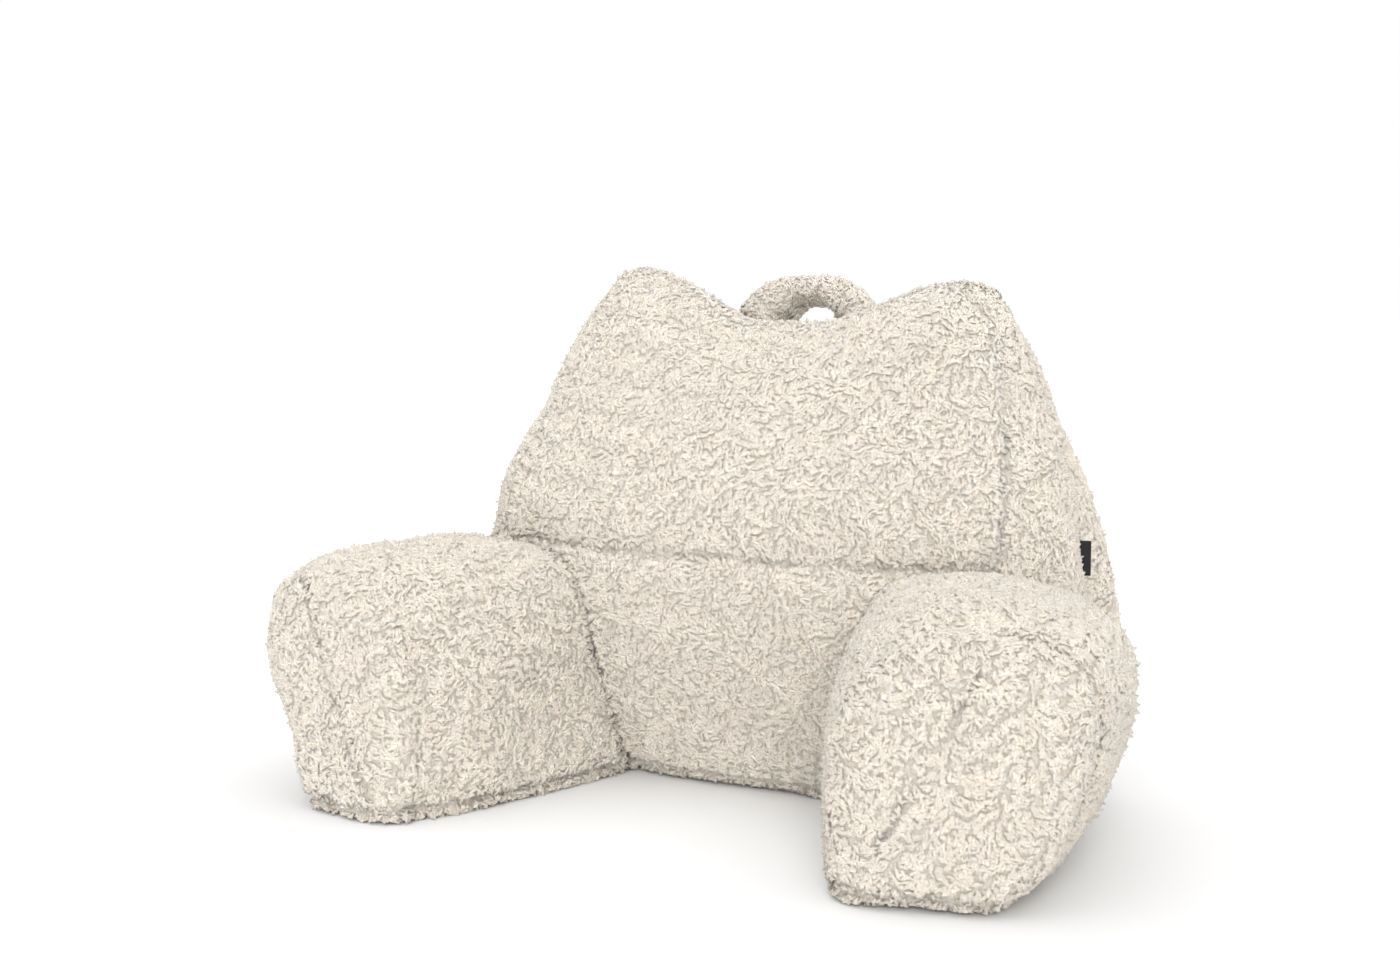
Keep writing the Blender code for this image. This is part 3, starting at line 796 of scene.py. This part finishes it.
class PILLOW_OT_back(bpy.types.Operator):
    """Make the stuffed back and its pile"""

    bl_idname = "pillow.back"
    bl_label = "Back"

    def execute(self, context):
        settings = context.scene.pillow_pile
        pile, backing = materials(context)
        piece = stuffed_copy("back", "back_cloth", VOXEL, INSET, backing)
        seams = seam_finder(back_seams())
        puff(piece, seam_finder(np.concatenate([back_seams(), top_seam()])), BACK_SWELL)
        lump(piece, seed=11)
        arms = [surface("arm_left"), surface("arm_right")]
        label = surface("side_label")

        def keep(roots, leans):
            tips = roots + leans * settings.depth
            near = np.min([nearest(tree, tips)[0] for tree in arms], axis=0)
            spacing = np.ones(len(roots))
            spacing[near < BODY_CLEAR] = np.nan
            spacing[nearest(label, tips)[0] < LABEL_CLEAR] = np.nan
            spacing[leans[:, 2] < -UNDERSIDE] = UNDERSIDE_SPACING
            return spacing

        def base(roots):
            turn = np.radians(np.interp(roots[:, 0], NAP_PLACES, NAP_TURNS))
            lie = np.stack([np.cos(turn), np.zeros(len(roots)), np.sin(turn)], 1)
            lie[back_panels(roots) > 0] = REAR_NAP
            return lie

        def split(roots):
            side = np.where(roots[:, 0] < 0, "_rear_left", "_rear_right")
            return np.choose(back_panels(roots), ("_front", "_gusset", side))

        cover("back", piece, settings, keep, base, swirl=1.2, size=0.035, seed=21, material=pile,
              split=split, seams=seams, beside=arms)
        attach(piece, "root")
        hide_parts("back")
        return {"FINISHED"}


class PILLOW_OT_arms(bpy.types.Operator):
    """Make both stuffed arms and their pile"""

    bl_idname = "pillow.arms"
    bl_label = "Arms"

    def execute(self, context):
        settings = context.scene.pillow_pile
        pile, backing = materials(context)
        back = surface("back")
        for name, side in (("arm_left", -1), ("arm_right", 1)):
            piece = stuffed_copy(name, name + "_cloth", VOXEL, INSET, backing)
            seams = seam_finder(arm_seams(name))
            puff(piece, seams, ARM_SWELL)
            lump(piece, seed=31 + side)

            def keep(roots, leans):
                away, facing = nearest(back, roots)
                hidden = (away < settings.depth * HIDDEN_REACH) & ((facing * leans).sum(1) < HIDDEN_FACING)
                spacing = np.ones(len(roots))
                spacing[hidden] = np.nan
                to_seam = np.array([seams.find(root)[2] for root in roots])
                spacing[to_seam < INSET + SEAM_BARE] = np.nan
                spacing[leans[:, 2] < -UNDERSIDE] = UNDERSIDE_SPACING
                return spacing

            def base(roots):
                return np.tile(ARM_NAP, (len(roots), 1))

            cover(name, piece, settings, keep, base, swirl=2.0, size=0.028, seed=41 + side, material=pile,
                  seams=seams, beside=[back], deeper=END_DEEPER)
            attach(piece, "root")
            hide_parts(name)
        return {"FINISHED"}


def fill_legs(piece):
    """Stuff the handle fuller towards its feet and along its front edge, on the inside of its arch."""
    mesh = piece.data
    points, normals = positions(mesh), normals_of(mesh)
    low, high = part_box("carry_handle")
    foot = Vector(((low.x + high.x) / 2, 0, low.z))
    inward = unit((np.array(foot) - points) * (1, 0, 1))
    facing = np.clip((normals * inward).sum(1), 0, 1)
    share = np.clip((np.abs(points[:, 0]) - LEG_START) / (LEG_END - LEG_START), 0, 1)
    middle = (points[:, 1].min() + points[:, 1].max()) / 2
    front = np.clip((middle - points[:, 1]) / (middle - points[:, 1].min()), 0, 1)
    amount = facing * (LEG_FILL * share * share * (3 - 2 * share) + FRONT_FILL * front)
    move_points(mesh, points + inward * amount[:, None])


def fold_line():
    """The tape's middle, seen from above: out from the seam, round the fold and back, with air between."""
    run = LABEL_FLAT[1] / 2
    ends = np.linspace(-run, 0, LABEL_STEPS + 1)[:-1]
    fold = np.linspace(-math.pi / 2, math.pi / 2, FOLD_STEPS)
    ahead = np.concatenate([ends, np.cos(fold) * LABEL_GAP, ends[::-1]])
    layer = np.ones(LABEL_STEPS)
    apart = np.concatenate([-layer, np.sin(fold), layer]) * LABEL_GAP
    parted = LABEL_PART * LABEL_GAP * np.sin(np.clip(-ahead / run, 0, 1) * math.pi)
    apart += np.where(np.arange(len(ahead)) < len(ahead) / 2, -1, 1) * parted
    return np.stack([ahead, apart], 1)


def folded_tape(name, heights, place):
    """A closed mesh of the label's tape. `place` puts a point of the fold line's plan at a height."""
    centre = fold_line()
    along = unit(np.gradient(centre, axis=0))
    sideways = np.stack([along[:, 1], -along[:, 0]], 1) * LABEL_THICK / 2
    outline = np.concatenate([centre + sideways, (centre - sideways)[::-1]])
    around = len(outline)
    mesh = bmesh.new()
    rings = []
    for height in heights:
        rings.append([mesh.verts.new(place(float(ahead), float(apart), float(height)))
                      for ahead, apart in outline])
    for lower, upper in zip(rings, rings[1:]):
        for index in range(around):
            following = (index + 1) % around
            mesh.faces.new((lower[index], lower[following], upper[following], upper[index]))
    for ring, flip in ((rings[0], True), (rings[-1], False)):
        for index in range(len(centre) - 1):
            corners = (ring[index], ring[index + 1], ring[around - 2 - index], ring[around - 1 - index])
            mesh.faces.new(corners[::-1] if flip else corners)
    bmesh.ops.recalc_face_normals(mesh, faces=mesh.faces)
    data = bpy.data.meshes.new(name)
    mesh.to_mesh(data)
    mesh.free()
    data.shade_smooth()
    return data


class PILLOW_OT_label(bpy.types.Operator):
    """Make the folded woven tape in the side seam, with nothing on its faces"""

    bl_idname = "pillow.label"
    bl_label = "Side Label"

    def execute(self, context):
        low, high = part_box("side_label")
        turn = math.radians(LABEL_TURN)
        out = Vector((math.cos(turn), math.sin(turn), 0))
        across = Vector((-math.sin(turn), math.cos(turn), 0))
        tip = Vector((high.x, high.y, 0)) - out * LABEL_TUCK - across * LABEL_GAP

        def place(ahead, apart, height):
            sway = sum(reach * math.sin((height - low.z) * pace) for reach, pace in LABEL_SWAYS)
            bent = sway * (1 + ahead / (LABEL_FLAT[1] / 2))
            return tip + out * ahead + across * (apart + bent) + Vector((0, 0, height))

        mesh = folded_tape("side_label_tape", np.linspace(low.z, high.z, LABEL_ROWS), place)
        piece = add_piece("side_label_tape", mesh, woven_tape("woven_tape", context.scene.pillow_colours))
        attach(piece, "root")
        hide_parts("side_label")
        return {"FINISHED"}


class PILLOW_OT_handle(bpy.types.Operator):
    """Make the padded carry handle and its pile"""

    bl_idname = "pillow.handle"
    bl_label = "Carry Handle"

    def execute(self, context):
        settings = context.scene.pillow_pile
        pile, backing = materials(context)
        piece = stuffed_copy("carry_handle", "carry_handle_cloth", HANDLE_VOXEL, HANDLE_INSET, backing)
        fill_legs(piece)
        piece.data.shade_smooth()

        def base(roots):
            return np.tile(HANDLE_NAP, (len(roots), 1))

        cover("carry_handle", piece, settings, None, base, swirl=0.8, size=0.03, seed=61, material=pile)
        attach(piece, "root")
        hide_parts("carry_handle")
        return {"FINISHED"}


class PILLOW_OT_stage(bpy.types.Operator):
    """Make the pale floor, the soft lights and the camera"""

    bl_idname = "pillow.stage"
    bl_label = "Stage"

    def execute(self, context):
        scene = context.scene
        bpy.ops.mesh.primitive_plane_add(size=FLOOR_SIZE)
        floor = context.object
        floor.name = "studio_floor"
        floor.data.materials.append(painted_floor("painted_floor", scene.pillow_colours))
        scene.world = studio_air()
        for name, turn, rise, spread, power in SUNS:
            lamp = bpy.data.lights.new(name, "SUN")
            lamp.angle = math.radians(spread)
            lamp.energy = power
            holder = bpy.data.objects.new(name, lamp)
            turn, rise = math.radians(turn), math.radians(rise)
            level = math.cos(rise)
            towards = Vector((math.sin(turn) * level, -math.cos(turn) * level, math.sin(rise)))
            holder.location = towards * LAMP_DISTANCE
            holder.rotation_euler = towards.to_track_quat("Z", "Y").to_euler()
            scene.collection.objects.link(holder)
        view = bpy.data.cameras.new("view")
        view.sensor_width = 36
        view.lens = CAMERA_LENS
        camera = bpy.data.objects.new("view", view)
        camera.location = CAMERA_PLACE
        camera.rotation_euler = (Vector(CAMERA_AIM) - camera.location).to_track_quat("-Z", "Y").to_euler()
        scene.collection.objects.link(camera)
        scene.camera = camera
        scene.view_settings.view_transform = "Standard"
        return {"FINISHED"}


class PILLOW_PT_panel(bpy.types.Panel):
    """The pillow's pieces and their settings"""

    bl_label = "Reading Pillow"
    bl_idname = "PILLOW_PT_panel"
    bl_space_type = "VIEW_3D"
    bl_region_type = "UI"
    bl_category = "Pillow"

    def draw(self, context):
        layout = self.layout
        for group in (context.scene.pillow_pile, context.scene.pillow_colours):
            for name in group.bl_rna.properties.keys():
                if name not in ("rna_type", "name"):
                    layout.prop(group, name)
        for operator in OPERATORS:
            layout.operator(operator.bl_idname)


OPERATORS = (PILLOW_OT_back, PILLOW_OT_arms, PILLOW_OT_handle, PILLOW_OT_label, PILLOW_OT_stage)
CLASSES = (PillowPile, PillowColours, *OPERATORS, PILLOW_PT_panel)


def register():
    """Add the classes and their settings to Blender."""
    for item in CLASSES:
        bpy.utils.register_class(item)
    bpy.types.Scene.pillow_pile = bpy.props.PointerProperty(type=PillowPile)
    bpy.types.Scene.pillow_colours = bpy.props.PointerProperty(type=PillowColours)


def unregister():
    """Take them out again."""
    del bpy.types.Scene.pillow_colours
    del bpy.types.Scene.pillow_pile
    for item in reversed(CLASSES):
        bpy.utils.unregister_class(item)


def main():
    """Make every piece."""
    register()
    bpy.ops.pillow.back()
    bpy.ops.pillow.arms()
    bpy.ops.pillow.handle()
    bpy.ops.pillow.label()
    bpy.ops.pillow.stage()


if __name__ == "__main__":
    main()
